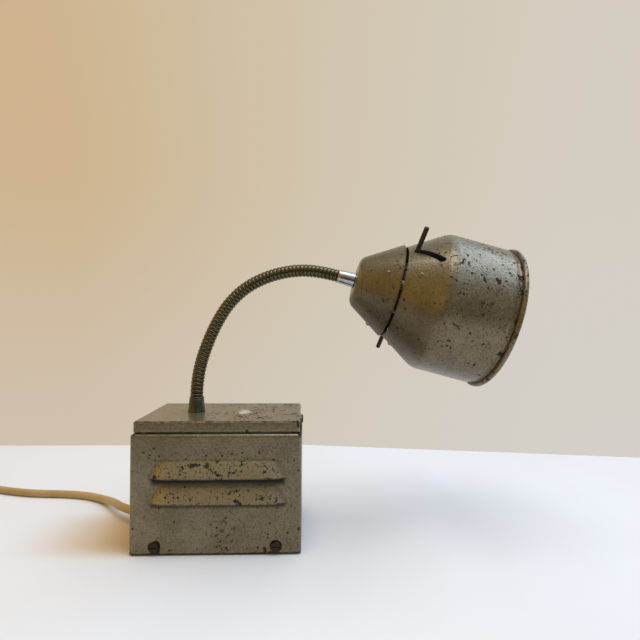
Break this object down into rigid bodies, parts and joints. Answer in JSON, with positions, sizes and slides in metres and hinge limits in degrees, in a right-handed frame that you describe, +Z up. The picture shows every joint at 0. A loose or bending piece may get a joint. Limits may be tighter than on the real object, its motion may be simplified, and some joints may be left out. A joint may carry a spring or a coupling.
{
  "type": "bench spot lamp",
  "caption": "Bench spot lamp: louvred steel transformer box, chromed gooseneck, and a two-part spun shade with a focusing lampholder moved by a lever in a slanting slot.",
  "frame": {"origin": "on the table under the middle of the box", "axes": "+Z up, +X the way the neck leans at rest, -Y the louvred side that faces the user"},
  "size_m": [0.5561, 0.1848, 0.2337],
  "materials": {
    "hammer_paint": "glossy grey-olive hammer enamel with dark chips and rust specks",
    "chrome": "polished, a little aged",
    "neck_chrome": "aged chrome ribs with dark grooves",
    "dark_steel": "browned, rusty",
    "zinc_steel": "zinc plated, dull",
    "core_steel": "varnished laminations",
    "pressboard": "pressboard",
    "copper_wire": "enamelled copper wire",
    "bakelite": "dark moulded bakelite",
    "brass": "nickelled brass, worn",
    "wire_insulation": "wire insulation",
    "bulb_glass": "clear",
    "cord_rubber": "yellowed beige cord sheath",
    "tie_rubber": "black strap",
    "plug_plastic": "yellowed moulded plug",
    "felt": "dark felt"
  },
  "bodies": {
    "base": {"base_pad": "felt", "base_plate": "zinc_steel", "base_housing": "hammer_paint", "box_screws": "dark_steel", "lid": "hammer_paint", "lid_screws": "dark_steel", "lid_nuts": "zinc_steel", "transformer_core": "core_steel", "transformer_bobbin": "pressboard", "primary_winding": "copper_wire", "secondary_winding": "copper_wire", "transformer_strap": "zinc_steel", "transformer_screws": "zinc_steel", "terminal_block": "bakelite", "terminal_screws": "brass", "cord_clamp": "bakelite", "clamp_screws": "zinc_steel", "lead_wires": "wire_insulation", "base_ferrule": "chrome", "neck_nut": "zinc_steel", "neck_washer": "zinc_steel", "strain_relief": "cord_rubber", "inner_cord": "cord_rubber", "cord": "cord_rubber", "cord_tail": "cord_rubber", "cord_coil": "cord_rubber", "cord_tie": "tie_rubber", "plug_body": "plug_plastic", "plug_pins": "brass"},
    "neck_00": {"neck_link_00": "neck_chrome"},
    "neck_01": {"neck_link_01": "neck_chrome"},
    "neck_02": {"neck_link_02": "neck_chrome"},
    "neck_03": {"neck_link_03": "neck_chrome"},
    "neck_04": {"neck_link_04": "neck_chrome"},
    "neck_05": {"neck_link_05": "neck_chrome"},
    "neck_06": {"neck_link_06": "neck_chrome"},
    "neck_07": {"neck_link_07": "neck_chrome"},
    "neck_08": {"neck_link_08": "neck_chrome"},
    "neck_09": {"neck_link_09": "neck_chrome"},
    "head": {"neck_link_10": "neck_chrome", "end_ferrule": "chrome", "guide_tube": "zinc_steel", "cap_washer": "zinc_steel", "cap_nut": "zinc_steel", "rear_cap": "hammer_paint", "front_shade": "hammer_paint", "spacer_brackets": "zinc_steel", "spacer_rivets": "hammer_paint"},
    "carriage": {"carrier_sleeve": "zinc_steel", "lampholder": "bakelite", "holder_contacts": "brass", "bulb_cap": "brass", "bulb_glass": "bulb_glass", "bulb_filament": "dark_steel"},
    "focus": {"focus_ring": "brass", "focus_lever": "dark_steel", "focus_pin": "dark_steel"}
  },
  "joints": [
    {"name": "neck_turn", "type": "hinge", "parent": "base", "child": "neck_00", "pos_m": [-0.0231, 0, 0.0932], "axis": [0, 0, 1], "range_deg": [-180, 180]},
    {"name": "neck_bend_01", "type": "hinge", "parent": "neck_00", "child": "neck_01", "pos_m": [-0.0231, 0, 0.11406], "axis": [0, 1, 0], "range_deg": [-9.5, 2.85]},
    {"name": "neck_bend_02", "type": "hinge", "parent": "neck_01", "child": "neck_02", "pos_m": [-0.02024, 0, 0.13116], "axis": [0, 1, 0], "range_deg": [-9, 2.7]},
    {"name": "neck_bend_03", "type": "hinge", "parent": "neck_02", "child": "neck_03", "pos_m": [-0.01474, 0, 0.14759], "axis": [0, 1, 0], "range_deg": [-5.5, 1.65]},
    {"name": "neck_bend_04", "type": "hinge", "parent": "neck_03", "child": "neck_04", "pos_m": [-0.00769, 0, 0.16342], "axis": [0, 1, 0], "range_deg": [-7.5, 2.25]},
    {"name": "neck_bend_05", "type": "hinge", "parent": "neck_04", "child": "neck_05", "pos_m": [0.00136, 0, 0.1782], "axis": [0, 1, 0], "range_deg": [-14, 4.2]},
    {"name": "neck_bend_06", "type": "hinge", "parent": "neck_05", "child": "neck_06", "pos_m": [0.01372, 0, 0.19035], "axis": [0, 1, 0], "range_deg": [-15.5, 4.65]},
    {"name": "neck_bend_07", "type": "hinge", "parent": "neck_06", "child": "neck_07", "pos_m": [0.02888, 0, 0.19875], "axis": [0, 1, 0], "range_deg": [-12, 3.6]},
    {"name": "neck_bend_08", "type": "hinge", "parent": "neck_07", "child": "neck_08", "pos_m": [0.04545, 0, 0.20381], "axis": [0, 1, 0], "range_deg": [-11.5, 3.45]},
    {"name": "neck_bend_09", "type": "hinge", "parent": "neck_08", "child": "neck_09", "pos_m": [0.0627, 0, 0.20548], "axis": [0, 1, 0], "range_deg": [-13.5, 4.05]},
    {"name": "neck_bend_10", "type": "hinge", "parent": "neck_09", "child": "head", "pos_m": [0.07987, 0, 0.20306], "axis": [0, 1, 0], "range_deg": [-7, 2.1]},
    {"name": "focus_slide", "type": "slide", "parent": "head", "child": "carriage", "axis": [0.9659, 0, -0.2588], "range_m": [0, 0.016]},
    {"name": "focus_turn", "type": "hinge", "parent": "carriage", "child": "focus", "pos_m": [0.13808, 0, 0.18747], "axis": [0.9659, 0, -0.2588], "range_deg": [0, 19.52]}
  ],
  "couplings": [
    {"joint": "focus_turn", "follows": "focus_slide", "rad_per_m": 21.271}
  ]
}
